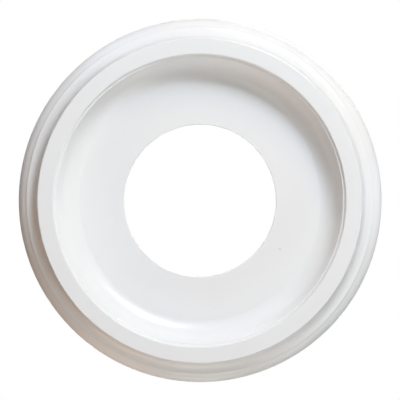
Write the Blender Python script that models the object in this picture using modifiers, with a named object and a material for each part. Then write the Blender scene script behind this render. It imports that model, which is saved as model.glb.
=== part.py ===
"""A round ceiling rose, moulded in one thin shell of white plastic and fixed flat to a ceiling.

The ceiling is the plane z = 0. The show face looks down, towards -Z, and the middle of the centre
hole is at the origin. Sizes are in metres. Widths are measured along a radius.
"""

import bpy
from math import asin, atan2, cos, hypot, pi, radians, sin, tan

# Widths, from the centre hole outwards. Together they make the outer radius, 123.8 mm
HOLE_RADIUS = 0.0519
PLATE_WIDTH = 0.0303
DISH_COVE_WIDTH = 0.0144
LEDGE_WIDTH = 0.0006
LIP_WIDTH = 0.0009
BAND_WIDTH = 0.0114
OUTER_COVE_WIDTH = 0.0081
STEP_WIDTH = 0.0012
OVOLO_WIDTH = 0.0050

# Heights, from the ceiling down the outer side. With the band's outer edge they make the depth, 23 mm
RIM_HEIGHT = 0.0021
OVOLO_HEIGHT = 0.0068
STEP_HEIGHT = 0.0015
OUTER_COVE_HEIGHT = 0.0119

# The lip is the slanted face between the ledge and the band's rounded inner edge
LIP_HEIGHT = 0.0010

# One wall thickness everywhere, and the roundings
WALL = 0.0025
DISH_COVE_RADIUS = 0.0148
OUTER_COVE_RADIUS = 0.0100
BAND_OUTER_EDGE = 0.0007
BAND_INNER_EDGE = 0.0012
RIM_EDGE_RADIUS = 0.0015
HOLE_EDGE_RADIUS = 0.0004

# Leans, as angles from flat. Each cove runs on from the lean at its foot to the straight wall above
UPRIGHT = pi / 2
DISH_COVE_LEAN = radians(9)
OUTER_COVE_LEAN = radians(17)
OVOLO_INNER_LEAN = radians(38)
OVOLO_OUTER_LEAN = radians(64)

# Straight pieces along each curve of the section, and around the whole turn
TURN_PIECES = 80
DISH_COVE_PIECES = 9
OUTER_COVE_PIECES = 6
OVOLO_PIECES = 4
BAND_OUTER_EDGE_PIECES = 3
BAND_INNER_EDGE_PIECES = 4
RIM_EDGE_PIECES = 2
HOLE_EDGE_PIECES = 2
BACK_CURVE_PIECES = 4
BACK_CORNER_PIECES = 3

SAME_POINT = 0.000001
SEAM_MERGE = 0.00001
SHARP_ANGLE = radians(28)

# Moulded white plastic with a soft gloss
PLASTIC_COLOUR = (0.82, 0.82, 0.815, 1.0)
PLASTIC_ROUGHNESS = 0.34

# Where each form of the section begins, counted along the radius
DISH_COVE_FOOT = HOLE_RADIUS + PLATE_WIDTH
LEDGE_START = DISH_COVE_FOOT + DISH_COVE_WIDTH
LIP_START = LEDGE_START + LEDGE_WIDTH
BAND_START = LIP_START + LIP_WIDTH
BAND_END = BAND_START + BAND_WIDTH
OUTER_COVE_FOOT = BAND_END + OUTER_COVE_WIDTH
OVOLO_START = OUTER_COVE_FOOT + STEP_WIDTH
OUTER_RADIUS = OVOLO_START + OVOLO_WIDTH

# How far each form stands below the ceiling
OVOLO_DEPTH = RIM_HEIGHT + OVOLO_HEIGHT
STEP_DEPTH = OVOLO_DEPTH + STEP_HEIGHT
FULL_DEPTH = STEP_DEPTH + OUTER_COVE_HEIGHT + BAND_OUTER_EDGE
LEDGE_DEPTH = FULL_DEPTH - BAND_INNER_EDGE - LIP_HEIGHT
DISH_COVE_HEIGHT = LEDGE_DEPTH - WALL
BAND_BACK_DEPTH = FULL_DEPTH - WALL


def clear_scene():
    """Take every object out of the open file."""
    for obj in list(bpy.data.objects):
        bpy.data.objects.remove(obj, do_unlink=True)


def arc(centre, width, height, start, end, pieces):
    """Points (radius, z) on an upright ellipse, at even angles from start to end, both included.

    Angle 0 points away from the axis and a quarter turn points up.
    """
    step = (end - start) / pieces
    angles = [start + step * count for count in range(pieces + 1)]
    return [(centre[0] + width * cos(angle), centre[1] + height * sin(angle)) for angle in angles]


def wall_lean(width, height, radius, foot_lean):
    """How far the straight wall of a cove leans, where it leaves the cove's round foot smoothly."""
    across = width + radius * sin(foot_lean)
    down = height - radius * cos(foot_lean)
    return atan2(down, across) + asin(radius / hypot(across, down))


def foot_curve(foot, radius, leans, outwards, behind, pieces):
    """The round foot of a cove, or the same curve one wall behind it, from its foot to its wall."""
    side = 1 if outwards else -1
    centre = (foot[0] - side * radius * sin(leans[0]), foot[1] - radius * cos(leans[0]))
    size = radius + behind
    return arc(centre, size, size, UPRIGHT - side * leans[0], UPRIGHT - side * leans[1], pieces)


def dish_foot(behind, pieces):
    """The round foot of the dish's cove, and how far the wall above it leans."""
    lean = wall_lean(DISH_COVE_WIDTH, DISH_COVE_HEIGHT, DISH_COVE_RADIUS, DISH_COVE_LEAN)
    foot = (DISH_COVE_FOOT, -WALL)
    return foot_curve(foot, DISH_COVE_RADIUS, (DISH_COVE_LEAN, lean), True, behind, pieces), lean


def outer_foot(behind, pieces):
    """The round foot of the outer cove, and how far the wall above it leans."""
    lean = wall_lean(OUTER_COVE_WIDTH, OUTER_COVE_HEIGHT, OUTER_COVE_RADIUS, OUTER_COVE_LEAN)
    foot = (OUTER_COVE_FOOT, -STEP_DEPTH)
    return foot_curve(foot, OUTER_COVE_RADIUS, (OUTER_COVE_LEAN, lean), False, behind, pieces), lean


def ovolo(behind, pieces):
    """The sloping part of the ovolo, or the same curve behind it, from the rim's edge inwards."""
    edge_width = RIM_EDGE_RADIUS * (1 - sin(OVOLO_OUTER_LEAN))
    edge_height = RIM_EDGE_RADIUS * cos(OVOLO_OUTER_LEAN)
    wide = (OVOLO_WIDTH - edge_width) / (sin(OVOLO_OUTER_LEAN) - sin(OVOLO_INNER_LEAN))
    tall = (OVOLO_HEIGHT - edge_height) / (cos(OVOLO_INNER_LEAN) - cos(OVOLO_OUTER_LEAN))
    centre = (OVOLO_START - wide * sin(OVOLO_INNER_LEAN), tall * cos(OVOLO_INNER_LEAN) - OVOLO_DEPTH)
    start, end = OVOLO_OUTER_LEAN - UPRIGHT, OVOLO_INNER_LEAN - UPRIGHT
    return arc(centre, wide - behind, tall - behind, start, end, pieces)


def outer_side():
    """Rim, ovolo, slanted step and outer cove: the face from the ceiling to the band's outer edge."""
    radius = RIM_EDGE_RADIUS
    edge = arc((OUTER_RADIUS - radius, -RIM_HEIGHT), radius, radius, 0, OVOLO_OUTER_LEAN - UPRIGHT,
               RIM_EDGE_PIECES)
    cove = outer_foot(0.0, OUTER_COVE_PIECES)[0]
    return [(OUTER_RADIUS, 0.0)] + edge + ovolo(0.0, OVOLO_PIECES) + cove


def band_corner(centre_radius, rounding, start, pieces):
    """One rounded edge of the band: a quarter turn from this angle, its lowest point at full depth."""
    return arc((centre_radius, rounding - FULL_DEPTH), rounding, rounding, start, start - UPRIGHT, pieces)


def band():
    """The flat band, the lowest and nearest form, with its two rounded edges."""
    outer = band_corner(BAND_END - BAND_OUTER_EDGE, BAND_OUTER_EDGE, 0, BAND_OUTER_EDGE_PIECES)
    inner = band_corner(BAND_START + BAND_INNER_EDGE, BAND_INNER_EDGE, -UPRIGHT, BAND_INNER_EDGE_PIECES)
    return outer + inner


def dish():
    """Lip, ledge, deep cove, flat centre plate and the wall of the hole, up to the ceiling."""
    ledge = [(LIP_START, -LEDGE_DEPTH), (LEDGE_START, -LEDGE_DEPTH)]
    cove = dish_foot(0.0, DISH_COVE_PIECES)[0]
    radius = min(HOLE_EDGE_RADIUS, WALL / 2)
    edge = arc((HOLE_RADIUS + radius, radius - WALL), radius, radius, -UPRIGHT, -pi, HOLE_EDGE_PIECES)
    return ledge + cove[::-1] + edge + [(HOLE_RADIUS, 0.0)]


def run_to_band(curve, lean, outwards):
    """A straight run on from the curve's last point, at this lean, down to the back of the band."""
    radius, z = curve[-1]
    side = 1 if outwards else -1
    return [(radius + side * (z + BAND_BACK_DEPTH) / tan(lean), -BAND_BACK_DEPTH)]


def back():
    """The plain back, from the hole outwards: plate, hollow behind the band, and rim."""
    rising, dish_lean = dish_foot(WALL, BACK_CURVE_PIECES)
    falling, outer_lean = outer_foot(WALL, BACK_CURVE_PIECES)
    hollow = [(DISH_COVE_FOOT, 0.0)] + rising + run_to_band(rising, dish_lean, True)
    hollow += run_to_band(falling, outer_lean, False) + falling[::-1]
    return hollow + ovolo(WALL, BACK_CORNER_PIECES)[::-1] + [(OUTER_RADIUS - WALL, 0.0)]


def without_repeats(points):
    """The same closed line, where the end of one form and the start of the next are one point."""
    kept = []
    for point, before in zip(points, points[-1:] + points[:-1]):
        if max(abs(point[0] - before[0]), abs(point[1] - before[1])) > SAME_POINT:
            kept.append(point)
    return kept


def section_mesh():
    """The cut through one side of the shell, as a closed line that runs down its outer side first."""
    points = without_repeats(outer_side() + band() + dish() + back())
    count = len(points)
    edges = [(index, (index + 1) % count) for index in range(count)]
    mesh = bpy.data.meshes.new("rose_section")
    mesh.from_pydata([(radius, 0.0, z) for radius, z in points], edges, [])
    return mesh


def turned(obj):
    """Turn the section about the Z axis, then keep the result as the object's own mesh."""
    screw = obj.modifiers.new("turn", "SCREW")
    screw.axis = "Z"
    screw.angle = 2 * pi
    screw.steps = TURN_PIECES
    screw.render_steps = TURN_PIECES
    screw.use_merge_vertices = True
    screw.merge_threshold = SEAM_MERGE
    bpy.context.view_layer.update()
    evaluated = obj.evaluated_get(bpy.context.evaluated_depsgraph_get())
    section = obj.data
    mesh = bpy.data.meshes.new_from_object(evaluated)
    mesh.name = obj.name
    obj.modifiers.remove(screw)
    obj.data = mesh
    bpy.data.meshes.remove(section)
    mesh.shade_smooth()
    mesh.set_sharp_from_angle(angle=SHARP_ANGLE)


def white_plastic():
    """One moulded plastic, right through, with a soft gloss."""
    material = bpy.data.materials.new("white_plastic")
    material.use_nodes = True
    shader = material.node_tree.nodes["Principled BSDF"]
    shader.inputs["Base Color"].default_value = PLASTIC_COLOUR
    shader.inputs["Roughness"].default_value = PLASTIC_ROUGHNESS
    shader.inputs["Metallic"].default_value = 0.0
    material.diffuse_color = PLASTIC_COLOUR
    return material


def rose_moulding(collection):
    """The whole rose: one shell of even wall, hollow behind the band."""
    obj = bpy.data.objects.new("rose_moulding", section_mesh())
    collection.objects.link(obj)
    turned(obj)
    obj.data.materials.append(white_plastic())
    return obj


def main():
    clear_scene()
    collection = bpy.data.collections.new("ceiling_rose")
    bpy.context.scene.collection.children.link(collection)
    rose_moulding(collection)


main()
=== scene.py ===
# %% [markdown]
# A ceiling rose is the round ornament that hides the hole in a ceiling where a light hangs. This one
# is a single moulding of white plastic: a thin shell with a rounded border, a flat raised band, a
# deep dish and a flat plate with a hole in its middle. It hangs with its show face down, so here the
# ceiling is the plane z = 0 and the camera is below it and looks up.

from math import asin, atan2, cos, degrees, hypot, pi, radians, sin, tan

import bpy
import numpy as np
from mathutils import Matrix, Vector


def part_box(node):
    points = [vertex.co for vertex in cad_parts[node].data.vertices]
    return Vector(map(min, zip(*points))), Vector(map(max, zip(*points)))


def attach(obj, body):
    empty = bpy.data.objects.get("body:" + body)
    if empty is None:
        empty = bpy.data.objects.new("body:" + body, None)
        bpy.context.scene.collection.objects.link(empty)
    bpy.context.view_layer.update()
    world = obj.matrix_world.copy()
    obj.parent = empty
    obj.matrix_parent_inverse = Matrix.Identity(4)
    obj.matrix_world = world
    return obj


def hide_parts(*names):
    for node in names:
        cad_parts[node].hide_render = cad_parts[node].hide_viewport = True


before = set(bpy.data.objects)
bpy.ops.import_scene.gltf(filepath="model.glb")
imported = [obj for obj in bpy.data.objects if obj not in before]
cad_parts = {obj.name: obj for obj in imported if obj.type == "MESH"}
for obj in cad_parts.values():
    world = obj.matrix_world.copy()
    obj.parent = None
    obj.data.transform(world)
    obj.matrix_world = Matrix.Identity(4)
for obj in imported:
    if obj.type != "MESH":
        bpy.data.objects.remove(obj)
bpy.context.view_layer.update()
NODE = "rose_moulding"

# %% [markdown]
# The solid that the frame brings is a faceted shell, exact in size but made of flat strips. The fine
# surface that is made here has to lie on it, so the sizes that can be read from the solid are read
# from it: the outer radius and the depth from its box, and the hole from its innermost corner.

# %% Sizes read from the solid
low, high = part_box(NODE)
outer_radius = high.x
full_depth = -low.z

corner_values = np.empty(3 * len(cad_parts[NODE].data.vertices), np.float32)
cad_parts[NODE].data.vertices.foreach_get("co", corner_values)
corner_points = corner_values.reshape(-1, 3).astype(float)
hole_radius = float(np.hypot(corner_points[:, 0], corner_points[:, 1]).min())
print(f"outer radius {outer_radius:.4f}, depth {full_depth:.5f}, hole radius {hole_radius:.4f}")

# %% [markdown]
# The rest of the section is set out as a joiner would mark it on a board: each form has a width
# along the radius and a height off the ceiling. The widths run inwards from the rim, and the dish's
# cove takes up what is left of the height.

# %% Sizes of each form, in metres
wall = 0.0025

rim_height, rim_edge = 0.0021, 0.0015
ovolo_width, ovolo_height = 0.0050, 0.0068
step_width, step_height = 0.0012, 0.0015
outer_cove_width, outer_cove_height, outer_cove_radius = 0.0081, 0.0119, 0.0100
band_width, band_outer_edge, band_inner_edge = 0.0114, 0.0007, 0.0012
lip_width, lip_height = 0.0009, 0.0010
ledge_width = 0.0006
dish_cove_width, dish_cove_radius = 0.0144, 0.0148
hole_edge = 0.0002

# Leans, as angles from flat
dish_cove_lean, outer_cove_lean = radians(9), radians(17)
ovolo_inner_lean, ovolo_outer_lean = radians(38), radians(64)

ovolo_start = outer_radius - ovolo_width
outer_cove_foot = ovolo_start - step_width
band_end = outer_cove_foot - outer_cove_width
band_start = band_end - band_width
lip_start = band_start - lip_width
ledge_start = lip_start - ledge_width
dish_cove_foot = ledge_start - dish_cove_width

ovolo_depth = rim_height + ovolo_height
ledge_depth = full_depth - band_inner_edge - lip_height
dish_cove_height = ledge_depth - wall
print(f"flat plate from {hole_radius * 1000:.1f} to {dish_cove_foot * 1000:.1f} mm from the middle")

# %% [markdown]
# Mouldings are drawn with two curves. An ovolo bulges out and a cove hollows in. The shading shows
# that neither is a full quarter turn here: each cove has a round foot and then runs on as a straight
# leaning wall, which also lets the moulding leave its mould. So one function makes every curve, a
# stretch of an upright ellipse. Another finds how far the wall has to lean to leave the round foot
# smoothly and still end where the sizes say.

# %% A curve of the section, and the lean of a cove's wall
QUARTER = pi / 2
FINE_STEP = 0.00005


def curve(centre_radius, centre_depth, width, height, start, end):
    """Points (radius, z) on an ellipse: radius is the centre plus width times the cosine of the
    angle, and z is minus the centre's depth plus height times its sine. Angle 0 points away from
    the axis, and a quarter turn points up to the ceiling."""
    count = int(abs(end - start) * max(width, height) / FINE_STEP) + 2
    angle = np.linspace(start, end, count)
    return np.stack([centre_radius + width * np.cos(angle), height * np.sin(angle) - centre_depth], 1)


def wall_lean(width, height, radius, foot_lean):
    """The lean of the line that touches the foot's circle and ends at the cove's top. Seen from the
    circle's middle, it is the top's own angle plus the arcsine of the radius over its distance."""
    across = width + radius * sin(foot_lean)
    down = height - radius * cos(foot_lean)
    return atan2(down, across) + asin(radius / hypot(across, down))


dish_lean = wall_lean(dish_cove_width, dish_cove_height, dish_cove_radius, dish_cove_lean)
outer_lean = wall_lean(outer_cove_width, outer_cove_height, outer_cove_radius, outer_cove_lean)
print(f"the walls lean {degrees(dish_lean):.1f} degrees in the dish and {degrees(outer_lean):.1f} outside")

# %% [markdown]
# The ovolo and the two coves give a rose its light and shade. The shell has one thickness, so the
# same three curves are needed twice, on the face and one wall behind it. They could be drawn for each
# side on its own. It is safer to make each one a function of how far behind the face it lies, because
# then the two sides can't drift apart.

# %% The three curved forms
ovolo_wide = ovolo_width - rim_edge * (1 - sin(ovolo_outer_lean))
ovolo_wide /= sin(ovolo_outer_lean) - sin(ovolo_inner_lean)
ovolo_tall = ovolo_height - rim_edge * cos(ovolo_outer_lean)
ovolo_tall /= cos(ovolo_inner_lean) - cos(ovolo_outer_lean)


def ovolo(behind):
    """The bulging border, from the rim's edge inwards. Its half width is its width over the
    difference of the sines of its two leans, and its half height goes by their cosines."""
    return curve(ovolo_start - ovolo_wide * sin(ovolo_inner_lean),
                 ovolo_depth - ovolo_tall * cos(ovolo_inner_lean),
                 ovolo_wide - behind, ovolo_tall - behind,
                 ovolo_outer_lean - QUARTER, ovolo_inner_lean - QUARTER)


def outer_foot(behind):
    """The round foot of the outer cove, from the step to the wall, at its radius plus the offset."""
    size = outer_cove_radius + behind
    return curve(outer_cove_foot + outer_cove_radius * sin(outer_cove_lean),
                 ovolo_depth + step_height + outer_cove_radius * cos(outer_cove_lean),
                 size, size, QUARTER + outer_cove_lean, QUARTER + outer_lean)


def dish_foot(behind):
    """The round foot of the dish's cove, from the plate to the wall, at its radius plus the offset."""
    size = dish_cove_radius + behind
    return curve(dish_cove_foot - dish_cove_radius * sin(dish_cove_lean),
                 wall + dish_cove_radius * cos(dish_cove_lean),
                 size, size, QUARTER - dish_cove_lean, QUARTER - dish_lean)


print(f"the border bulges by a radius of {ovolo_wide * 1000:.0f} mm")

# %% [markdown]
# The show face is these curves one after another. Starting at the ceiling on the outside, the line
# runs down the rim, round the ovolo, over a small slanted step, along the outer cove to the band,
# across the band, back up a narrow lip to a ledge, round the deep cove and along the plate to the
# hole. The ledge is the thin bright line just inside the band in the picture. The forms could be
# rings set into one another, but one unbroken line has no seams, and the real rose has none either.

# %% The show face


def band_corner(centre_radius, rounding, start):
    """A quarter turn of the band's edge, on from the start angle, down to the full depth."""
    return curve(centre_radius, full_depth - rounding, rounding, rounding, start, start - QUARTER)


def show_face():
    """The outline's lower half as one list of points (radius, z), from the rim at the ceiling to the
    hole at the ceiling: the curves above, joined by straight lines where nothing is between them."""
    return np.concatenate([
        [(outer_radius, 0.0)],
        curve(outer_radius - rim_edge, rim_height, rim_edge, rim_edge, 0, ovolo_outer_lean - QUARTER),
        ovolo(0.0),
        outer_foot(0.0),
        band_corner(band_end - band_outer_edge, band_outer_edge, 0),
        band_corner(band_start + band_inner_edge, band_inner_edge, -QUARTER),
        [(lip_start, -ledge_depth), (ledge_start, -ledge_depth)],
        dish_foot(0.0)[::-1],
        curve(hole_radius + hole_edge, wall - hole_edge, hole_edge, hole_edge, -QUARTER, -pi),
        [(hole_radius, 0.0)],
    ])


face_points = show_face()
print(len(face_points), "points on the show face, lowest at", round(face_points[:, 1].min(), 5))

# %% [markdown]
# The back is never seen once the rose is up. A moulding like this is one even wall, because plastic
# that cools in a thick lump sinks and leaves dents in the face. So the back follows the face one
# wall behind it: flat behind the plate, hollow behind the band, and a rim that meets the ceiling.

# %% The back


def run_to_band(point, lean, side):
    """Where a straight line on from the point, at this lean, meets the back of the band: the height
    still to go over the tangent of the lean, outwards or inwards."""
    depth = full_depth - wall
    return [(point[0] + side * (point[1] + depth) / tan(lean), -depth)]


def back_face():
    """The outline's upper half, from the hole outwards to the inside of the rim."""
    rising, falling = dish_foot(wall), outer_foot(wall)
    return np.concatenate([
        [(dish_cove_foot, 0.0)],
        rising,
        run_to_band(rising[-1], dish_lean, 1),
        run_to_band(falling[-1], outer_lean, -1),
        falling[::-1],
        ovolo(wall)[::-1],
        [(outer_radius - wall, 0.0)],
    ])


back_points = back_face()
print(len(back_points), "points on the back, lowest at", round(back_points[:, 1].min(), 5))

# %% [markdown]
# No moulded corner is quite sharp: the tool is polished and the plastic shrinks. A Bevel modifier
# could round the finished mesh, but it would work on every turn of it. It is simpler to soften the
# outline once, before it is turned. The line is laid out in even steps, and each point is replaced
# by the mean of its close neighbours, which rounds corners and leaves straight runs where they are.

# %% Even steps, and softened corners
SOFT_REACH = 0.00022


def even_steps(points, step):
    """A closed line laid out again at equal steps along its own length, by straight interpolation of
    radius and z over the distance walked."""
    closed = np.concatenate([points, points[:1]])
    walked = np.concatenate([[0.0], np.cumsum(np.hypot(*np.diff(closed, axis=0).T))])
    places = np.linspace(0.0, walked[-1], int(walked[-1] / step), endpoint=False)
    return np.stack([np.interp(places, walked, closed[:, axis]) for axis in (0, 1)], 1)


def softened(values, reach):
    """Each value of a closed line replaced by the plain mean of the values within reach of it, done
    twice, so that a corner turns into a smooth curve."""
    near = int(reach / FINE_STEP)
    for _ in range(2):
        values = np.mean([np.roll(values, shift, axis=0) for shift in range(-near, near + 1)], axis=0)
    return values


fine_outline = softened(even_steps(np.concatenate([face_points, back_points]), FINE_STEP), SOFT_REACH)
print("the outline is", round(len(fine_outline) * FINE_STEP, 4), "m round, in", len(fine_outline), "steps")

# %% [markdown]
# Nearly four thousand points round the section would make two million triangles once it is turned.
# Most of them lie on flat runs that need none. So the points are spaced by how much the line turns:
# close together on the small roundings, further apart on the coves and furthest on the flats.

# %% Fewer points, where they count
SECTION_POINTS = 340
TURN_WEIGHT = 0.0016
WEIGHT_REACH = 0.0005


def spaced_by_turning(points, count):
    """The closed line at the given number of points. Each step of it weighs its length plus a share
    of the angle that it turns through, and the points sit at equal steps of the summed weight."""
    ahead = np.roll(points, -1, axis=0) - points
    behind = np.roll(ahead, 1, axis=0)
    turn = np.abs(np.arctan2(ahead[:, 0] * behind[:, 1] - ahead[:, 1] * behind[:, 0],
                             (ahead * behind).sum(axis=1)))
    weight = softened(np.hypot(*ahead.T) + TURN_WEIGHT * turn, WEIGHT_REACH)
    summed = np.concatenate([[0.0], np.cumsum(weight)])
    places = np.interp(np.linspace(0.0, summed[-1], count, endpoint=False), summed, np.arange(len(summed)))
    closed = np.concatenate([points, points[:1]])
    return np.stack([np.interp(places, np.arange(len(closed)), closed[:, axis]) for axis in (0, 1)], 1)


section = spaced_by_turning(fine_outline, SECTION_POINTS)
gaps = np.hypot(*(np.roll(section, -1, axis=0) - section).T)
print(f"{len(section)} points, {gaps.min() * 1000:.2f} to {gaps.max() * 1000:.2f} mm apart")

# %% [markdown]
# Turning the section is what a Screw modifier does. Here it is worked out instead, because the grid
# of points can then carry values of its own. Every point is fixed by two numbers, how far round the
# rose it is and where along the section, so the whole surface is one table of points that closes on
# itself in both directions, like a ring doughnut.

# %% Turn the section into a surface
TURNS = 256


def turned_grid(profile, turns):
    """Points on a surface of revolution, as an array of turns by profile points by 3. x is the
    radius times the cosine of the turn, y the radius times its sine, and z is the profile's own."""
    turn = np.linspace(0.0, 2 * pi, turns, endpoint=False)[:, None]
    radius, z = profile[:, 0], profile[:, 1]
    return np.stack([radius * np.cos(turn), radius * np.sin(turn), z + 0 * turn], axis=2)


def ring_quads(turns, count):
    """Four corners for each cell of a grid that closes both ways, turned so that faces point out."""
    index = np.arange(turns * count).reshape(turns, count)
    beside = np.roll(index, -1, axis=0)
    corners = [index, np.roll(index, -1, axis=1), np.roll(beside, -1, axis=1), beside]
    return np.stack(corners, axis=2).reshape(-1, 4)


def surface_object(name, points, quads):
    """A smooth mesh object from whole arrays of points and four-cornered faces."""
    mesh = bpy.data.meshes.new(name)
    mesh.vertices.add(len(points))
    mesh.vertices.foreach_set("co", points.astype(np.float32).ravel())
    mesh.loops.add(quads.size)
    mesh.loops.foreach_set("vertex_index", quads.astype(np.int32).ravel())
    mesh.polygons.add(len(quads))
    mesh.polygons.foreach_set("loop_start", np.arange(0, quads.size, 4, dtype=np.int32))
    mesh.update(calc_edges=True)
    mesh.shade_smooth()
    obj = bpy.data.objects.new(name, mesh)
    bpy.context.scene.collection.objects.link(obj)
    return obj


grid = turned_grid(section, TURNS)
rose = surface_object("rose_shell", grid.reshape(-1, 3), ring_quads(TURNS, len(section)))
print(f"{rose.name}: {2 * len(rose.data.polygons)} triangles, invalid parts: {rose.data.validate()}")


def signed_volume(mesh):
    """The volume inside a closed mesh: a sixth of the sum, over its triangles, of the triple product
    of their corners. It is negative where the faces point inwards."""
    mesh.calc_loop_triangles()
    corners = np.empty(3 * len(mesh.loop_triangles), np.int32)
    mesh.loop_triangles.foreach_get("vertices", corners)
    places = np.empty(3 * len(mesh.vertices), np.float32)
    mesh.vertices.foreach_get("co", places)
    a, b, c = places.reshape(-1, 3).astype(float)[corners.reshape(-1, 3)].transpose(1, 0, 2)
    return float((a * np.cross(b, c)).sum() / 6)


print(f"the shell holds {signed_volume(rose.data) * 1e6:.1f} cubic centimetres of plastic")

# %% [markdown]
# The show side is polished in the mould and the back is left as the tool cut it. The material has to
# know which is which, so each point carries a value of its own, an attribute: 0 on the show face and
# 1 on the back. It is found from the section, by asking which half of the outline is nearer. Both
# halves are laid out as closed lines that close along the ceiling plane, so on the flat back of the
# plate neither is nearer, and the value stays at about a half.

# %% Mark the back
MARK_REACH = 0.0006


def nearness_to_back(profile):
    """For each point of the profile, how much nearer the back's line is than the face's, spread over
    a short reach and held between 0 and 1."""
    def distance(line):
        apart = profile[:, None] - line[None]
        return np.hypot(apart[..., 0], apart[..., 1]).min(axis=1)
    face_line = even_steps(face_points, MARK_REACH)
    back_line = even_steps(np.concatenate([[(hole_radius, 0.0)], back_points]), MARK_REACH)
    return np.clip(0.5 + (distance(face_line) - distance(back_line)) / (2 * MARK_REACH), 0.0, 1.0)


back_share = nearness_to_back(section)
mark = rose.data.attributes.new("back_side", "FLOAT", "POINT")
mark.data.foreach_set("value", np.tile(back_share, TURNS).astype(np.float32))
print(f"{(back_share > 0.5).mean():.0%} of the section's points are on the back")

# %% [markdown]
# Plastic that has run through a mould is never one flat tone. It cools unevenly, which leaves broad
# and very faint clouds in its white, and its skin copies the tool's polish, with a ripple like fine
# orange peel. Both are noise at different sizes, so each is built once, as a shader node group with
# its own inputs. A group can be placed again in any other material with other values.

# %% Helpers for shader nodes


def new_group(name, inputs, outputs):
    """An empty shader node group with these sockets, and its two end nodes."""
    tree = bpy.data.node_groups.new(name, "ShaderNodeTree")
    for side, sockets in (("INPUT", inputs), ("OUTPUT", outputs)):
        for socket, kind in sockets.items():
            tree.interface.new_socket(name=socket, in_out=side, socket_type="NodeSocket" + kind)
    return tree, tree.nodes.new("NodeGroupInput").outputs, tree.nodes.new("NodeGroupOutput").inputs


def add(tree, kind, values=None, **settings):
    """A node with its settings made and its inputs filled. A value that is another node's output
    socket is linked, and any other is written on the input itself."""
    node = tree.nodes.new("ShaderNode" + kind)
    for name, value in settings.items():
        setattr(node, name, value)
    for socket, value in (values or {}).items():
        if isinstance(value, bpy.types.NodeSocket):
            tree.links.new(value, node.inputs[socket])
        else:
            node.inputs[socket].default_value = value
    return node


def maths(tree, operation, first, second=0.0, third=0.0):
    """The output of one sum: what it does, then its numbers or sockets."""
    return add(tree, "Math", {0: first, 1: second, 2: third}, operation=operation).outputs[0]


print("shader nodes are placed with", add.__name__, "and", maths.__name__)

# %% [markdown]
# The clouds come first. They could be painted into a picture and wrapped round the rose, but noise
# needs no picture and shows no seam. The floor uses the same group later, at a larger size.

# %% Clouds in the white
CLOUD_DETAIL = 3.0


def clouds_group():
    """A factor near 1 for the colour: one plus the strength times how far a noise of the given size
    lies from its own middle."""
    inputs = {"Place": "Vector", "Size": "Float", "Strength": "Float"}
    tree, given, made = new_group("moulding_clouds", inputs, {"Factor": "Float"})
    scale = maths(tree, "DIVIDE", 1.0, given["Size"])
    noise = add(tree, "TexNoise", {"Vector": given["Place"], "Scale": scale, "Detail": CLOUD_DETAIL})
    centred = maths(tree, "SUBTRACT", noise.outputs[0], 0.5)
    tree.links.new(maths(tree, "MULTIPLY_ADD", centred, given["Strength"], 1.0), made["Factor"])
    return tree


clouds = clouds_group()
print(clouds.name, "takes", [socket.name for socket in clouds.interface.items_tree])

# %% [markdown]
# The skin is relief, but far too fine to be worth any triangles, so it is made as a height for a Bump
# node. The fine grain is the polish of the tool, and the broad ripple is how the plastic flowed.

# %% The skin of the plastic
SKIN_DETAIL = 2.0


def skin_group():
    """A height between 0 and 1: a fine noise and a broad one, mixed by the ripple's share."""
    inputs = {"Place": "Vector", "Grain Size": "Float", "Ripple Size": "Float", "Ripple Share": "Float"}
    tree, given, made = new_group("moulded_skin", inputs, {"Height": "Float"})
    layers = {"Factor": given["Ripple Share"]}
    for layer, size in (("A", "Grain Size"), ("B", "Ripple Size")):
        scale = maths(tree, "DIVIDE", 1.0, given[size])
        values = {"Vector": given["Place"], "Scale": scale, "Detail": SKIN_DETAIL}
        layers[layer] = add(tree, "TexNoise", values).outputs[0]
    mixed = add(tree, "Mix", layers, data_type="FLOAT")
    tree.links.new(mixed.outputs[0], made["Height"])
    return tree


skin = skin_group()
print(skin.name, "takes", [socket.name for socket in skin.interface.items_tree])

# %% [markdown]
# There is one blemish on the plate, a grey fleck hardly a millimetre long, right of the hole and a
# little below it. It could be a tiny piece of its own, but it has no thickness to speak of, so it is
# painted: a mask that is 1 at a place and falls to 0 over a short distance, with a ragged edge.

# %% A fleck in the surface


def fleck_group():
    """A mask: one minus the distance from the centre, stretched along one way, over the reach, with
    a noise that makes its edge uneven. It is held between 0 and 1."""
    inputs = {"Place": "Vector", "Centre": "Vector", "Stretch": "Vector",
              "Reach": "Float", "Ragged": "Float"}
    tree, given, made = new_group("fleck", inputs, {"Mask": "Float"})
    place = given["Place"]
    offset = add(tree, "VectorMath", {0: place, 1: given["Centre"]}, operation="SUBTRACT").outputs[0]
    stretched = add(tree, "VectorMath", {0: offset, 1: given["Stretch"]}, operation="MULTIPLY").outputs[0]
    distance = add(tree, "VectorMath", {0: stretched}, operation="LENGTH").outputs["Value"]
    scale = maths(tree, "DIVIDE", 1.0, given["Reach"])
    noise = add(tree, "TexNoise", {"Vector": place, "Scale": scale}).outputs[0]
    uneven = maths(tree, "MULTIPLY_ADD", maths(tree, "SUBTRACT", noise, 0.5), given["Ragged"], 1.0)
    near = maths(tree, "SUBTRACT", uneven, maths(tree, "DIVIDE", distance, given["Reach"]))
    tree.links.new(add(tree, "Clamp", {"Value": near}).outputs[0], made["Mask"])
    return tree


fleck = fleck_group()
print(fleck.name, "takes", [socket.name for socket in fleck.interface.items_tree])

# %% [markdown]
# The finish itself is one material. Its white is multiplied by the clouds and darkened under the
# fleck. The back is duller than the polished face. It could have a material of its own, but the edge
# between the two would show as a line, so the attribute made above mixes two roughnesses instead.
# Everything reads Object coordinates, which stay with the rose however it is hung.

# %% White moulded plastic
WHITE = (0.80, 0.80, 0.80)
WHITE_CLOUDS = {"Size": 0.045, "Strength": 0.035}

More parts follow.
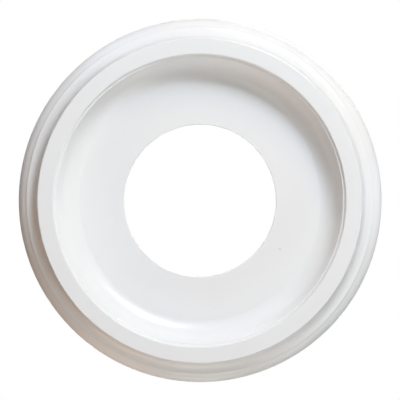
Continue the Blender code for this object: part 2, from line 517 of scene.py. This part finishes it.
FLECK_GREY = (0.62, 0.61, 0.60, 1.0)
FLECK_SHAPE = {"Centre": (-0.0544, -0.0329, -wall), "Stretch": (0.8, 1.2, 1.0),
               "Reach": 0.0011, "Ragged": 0.8}

FACE_ROUGHNESS, BACK_ROUGHNESS = 0.34, 0.52
GLOSS_CLOUDS = {"Size": 0.012, "Strength": 0.16}
PLASTIC_IOR = 1.49

SKIN_SIZES = {"Grain Size": 0.0007, "Ripple Size": 0.006, "Ripple Share": 0.6}
SKIN_DEPTH, SKIN_STRENGTH = 0.00002, 0.25


def place_group(tree, group, place, values):
    """A node group placed in a material at these coordinates, with its own values. It gives the
    node's one output."""
    return add(tree, "Group", {"Place": place, **values}, node_tree=group).outputs[0]


def tinted(tree, colour, tone):
    """A colour multiplied by a factor."""
    return add(tree, "VectorMath", {0: colour, "Scale": tone}, operation="SCALE").outputs[0]


def white_plastic():
    """Base colour: white times the clouds, mixed to grey under the fleck. Roughness: the face's or
    the back's by the attribute, times small clouds of its own. Bump: the skin's height."""
    material = bpy.data.materials.new("white_plastic")
    material.use_nodes = True
    tree = material.node_tree
    shader = tree.nodes["Principled BSDF"]
    place = add(tree, "TexCoord").outputs["Object"]
    back = add(tree, "Attribute", attribute_name="back_side").outputs["Fac"]

    white = tinted(tree, WHITE, place_group(tree, clouds, place, WHITE_CLOUDS))
    mask = place_group(tree, fleck, place, FLECK_SHAPE)
    colour = add(tree, "Mix", {"Factor": mask, "A": white, "B": FLECK_GREY}, data_type="RGBA")
    tree.links.new(colour.outputs["Result"], shader.inputs["Base Color"])

    haze = place_group(tree, clouds, place, GLOSS_CLOUDS)
    sides = {"Factor": back, "A": FACE_ROUGHNESS, "B": BACK_ROUGHNESS}
    rough = add(tree, "Mix", sides, data_type="FLOAT").outputs[0]
    tree.links.new(maths(tree, "MULTIPLY", rough, haze), shader.inputs["Roughness"])

    height = place_group(tree, skin, place, SKIN_SIZES)
    bump = add(tree, "Bump", {"Strength": SKIN_STRENGTH, "Distance": SKIN_DEPTH, "Height": height})
    tree.links.new(bump.outputs[0], shader.inputs["Normal"])
    shader.inputs["IOR"].default_value = PLASTIC_IOR
    return material


rose.data.materials.append(white_plastic())
print("the rose is finished in", rose.data.materials[0].name)

# %% [markdown]
# The turned surface stands for the faceted solid, takes its finish from the record's white plastic,
# and rides on the one body there is.

# %% Put the rose in the frame
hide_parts(NODE)
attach(rose, "root")
print("the rose replaces", NODE)

# %% [markdown]
# The room is kept plain: a pale floor a ceiling's height below, and a surround. The surround shows
# pure white behind the show face, as a studio sweep does, and fades to a light grey at the sides, so
# a white rose still stands out there. It would throw light on the rose that the soft lights already
# give, so it is bright to the camera and nearly dark to every other ray. The soft lights hardly reach
# the floor, so the camera sees it glow in its own colour, and every other ray meets plain matt paint.
# A Light Path node tells the two kinds of ray apart.

# %% Floor and surround
CEILING_HEIGHT = 2.4
FLOOR_HALF = 5.5
FLOOR_COLOUR = (0.78, 0.78, 0.77)
FLOOR_CLOUDS = {"Size": 0.6, "Strength": 0.03}
FLOOR_ROUGHNESS = 0.8
SURROUND_OVERHEAD = (1.0, 1.0, 1.0, 1.0)
SURROUND_SIDES = (0.60, 0.60, 0.595, 1.0)
SURROUND_LIGHT = (0.004, 0.004, 0.004, 1.0)
GREY_UP_TO, WHITE_FROM = 0.35, 0.85


def seen_and_felt(tree, seen, felt, end):
    """Show the camera's rays one shader and all other rays another. Both go to the end node."""
    camera_ray = add(tree, "LightPath").outputs["Is Camera Ray"]
    both = add(tree, "MixShader", {0: camera_ray, 1: felt, 2: seen}).outputs[0]
    tree.links.new(both, tree.nodes[end].inputs["Surface"])


def pale_floor():
    """A square sheet at floor height, with a faint grain in its tone, seen as bright as its colour."""
    corners = np.array([(-1, -1), (1, -1), (1, 1), (-1, 1)]) * FLOOR_HALF
    points = np.column_stack([corners, np.full(4, -CEILING_HEIGHT)])
    floor = surface_object("floor", points, np.array([[0, 1, 2, 3]]))
    material = bpy.data.materials.new("pale_floor")
    material.use_nodes = True
    tree = material.node_tree
    place = add(tree, "TexCoord").outputs["Object"]
    colour = tinted(tree, FLOOR_COLOUR, place_group(tree, clouds, place, FLOOR_CLOUDS))
    felt = tree.nodes["Principled BSDF"]
    tree.links.new(colour, felt.inputs["Base Color"])
    felt.inputs["Roughness"].default_value = FLOOR_ROUGHNESS
    seen = add(tree, "Emission", {"Color": colour}).outputs[0]
    seen_and_felt(tree, seen, felt.outputs[0], "Material Output")
    floor.data.materials.append(material)


def surround():
    """A world that is white overhead and light grey at the sides. How white it is goes by the upward
    part of the direction, from the one height to the other."""
    world = bpy.data.worlds.new("surround")
    bpy.context.scene.world = world
    world.use_nodes = True
    tree = world.node_tree
    direction = add(tree, "TexCoord").outputs["Generated"]
    upward = add(tree, "SeparateXYZ", {0: direction}).outputs["Z"]
    whiteness = add(tree, "MapRange", {0: upward, 1: GREY_UP_TO, 2: WHITE_FROM}).outputs[0]
    colours = {"Factor": whiteness, "A": SURROUND_SIDES, "B": SURROUND_OVERHEAD}
    colour = add(tree, "Mix", colours, data_type="RGBA").outputs["Result"]
    seen = add(tree, "Background", {"Color": colour}).outputs[0]
    felt = add(tree, "Background", {"Color": SURROUND_LIGHT}).outputs[0]
    seen_and_felt(tree, seen, felt, "World Output")


pale_floor()
surround()
print("the floor lies", CEILING_HEIGHT, "m below the ceiling")

# %% [markdown]
# The strongest light comes from above and a little to the right as the picture is seen, so the lower
# side of the dish and the upper side of the border catch it. One soft box would give one colour, but
# its light warms towards the ceiling, so it is made of four boxes side by side. Weaker lights fill
# from all round. The rose was lying on a pale surface that threw light back up at its border, so six
# low lights shine from just behind the ceiling plane. Each light is placed by two angles: where it is
# around the rose in the picture, anticlockwise from the right, and how far it leans out from straight
# below. Two more light the back, which the picture never shows.

# %% Soft lights
LIGHT_DISTANCE = 1.6
BACK_SPREAD = radians(30)

# name: around and lean in degrees, side in metres, power in watts, colour
LIGHTS = {
    "key": (68, 48, 0.34, 11.77, (0.72, 0.83, 1.00)),
    "key_warmth": (68, 60, 0.34, 6.70, (1.00, 0.83, 0.54)),
    "key_right": (56, 48, 0.34, 5.29, (1.00, 0.80, 0.81)),
    "key_front": (68, 42, 0.34, 4.70, (0.71, 0.99, 1.00)),
    "fill_lower_left": (240, 40, 0.6, 3.79, (1.00, 0.95, 0.93)),
    "fill_lower_right": (300, 40, 0.6, 3.69, (1.00, 0.97, 0.91)),
    "lower_right": (300, 60, 0.6, 2.01, (1.00, 0.88, 0.86)),
    "low_right": (300, 78, 0.6, 5.61, (0.93, 1.00, 0.99)),
    "upper_left": (120, 65, 0.6, 3.85, (0.67, 0.77, 1.00)),
    "left_glow": (180, 75, 0.6, 3.16, (1.00, 0.61, 0.24)),
    "bounce_right": (0, 102, 0.6, 3.86, (0.72, 0.78, 1.00)),
    "bounce_upper_right": (30, 102, 0.6, 2.08, (1.00, 0.88, 0.49)),
    "bounce_above": (90, 102, 0.6, 1.52, (1.00, 0.37, 0.05)),
    "bounce_upper_left": (120, 102, 0.6, 2.75, (0.61, 0.83, 1.00)),
    "bounce_lower_left": (240, 102, 0.6, 2.96, (1.00, 0.52, 0.32)),
    "bounce_below": (270, 102, 0.6, 2.67, (0.93, 1.00, 0.89)),
}
BACK_LIGHTS = {
    "back_key": (60, 150, 0.6, 0.9, (1.00, 0.99, 0.98)),
    "back_fill": (230, 160, 0.6, 0.25, (0.97, 0.98, 1.00)),
}


def soft_light(name, around, lean, side, power, colour, spread=pi):
    """A square area light that faces the rose. In the picture right is -X and up is +Y, so its
    direction is minus the cosine and the sine of the first angle, times the sine of the lean, and
    straight down times the cosine of the lean."""
    turn, tip = radians(around), radians(lean)
    direction = Vector((-cos(turn) * sin(tip), sin(turn) * sin(tip), -cos(tip)))
    data = bpy.data.lights.new(name, "AREA")
    data.shape = "SQUARE"
    data.size = side
    data.energy = power
    data.color = colour
    data.spread = spread
    light = bpy.data.objects.new(name, data)
    light.location = direction * LIGHT_DISTANCE
    light.rotation_mode = "QUATERNION"
    light.rotation_quaternion = direction.to_track_quat("Z", "Y")
    light.visible_camera = False
    bpy.context.scene.collection.objects.link(light)


for name, settings in LIGHTS.items():
    soft_light(name, *settings)
for name, settings in BACK_LIGHTS.items():
    soft_light(name, *settings, BACK_SPREAD)
print(len(LIGHTS) + len(BACK_LIGHTS), "lights")

# %% [markdown]
# The picture was taken almost straight on. The band lies a few millimetres nearer than the rim, and
# its circles sit a hair to the left of the rim's, which puts the eye just over half a degree to the
# right. A long lens from a metre and a half keeps the circles round.

# %% Camera
EYE_DISTANCE = 1.5
EYE_RIGHT, EYE_UP = radians(0.62), radians(-0.09)
PICTURE_WIDTH = 0.2733
AIM_UP = 0.0004


def set_camera():
    """A camera below the rose that looks up. Its lens is the sensor's width times the distance over
    the width of ceiling that fills the picture. Right in the picture is -X and up is +Y."""
    data = bpy.data.cameras.new("camera")
    data.lens = data.sensor_width * EYE_DISTANCE / PICTURE_WIDTH
    eye = Vector((-tan(EYE_RIGHT), tan(EYE_UP), -1.0)) * EYE_DISTANCE
    ahead = (Vector((0.0, AIM_UP, 0.0)) - eye).normalized()
    right = ahead.cross(Vector((0.0, 1.0, 0.0))).normalized()
    camera = bpy.data.objects.new("camera", data)
    turn = Matrix((right, right.cross(ahead), -ahead)).transposed().to_4x4()
    camera.matrix_world = Matrix.Translation(eye) @ turn
    bpy.context.scene.collection.objects.link(camera)
    bpy.context.scene.camera = camera
    print(f"a {data.lens:.0f} mm lens, {EYE_DISTANCE} m below the ceiling")


set_camera()
bpy.context.scene.view_settings.view_transform = "Standard"
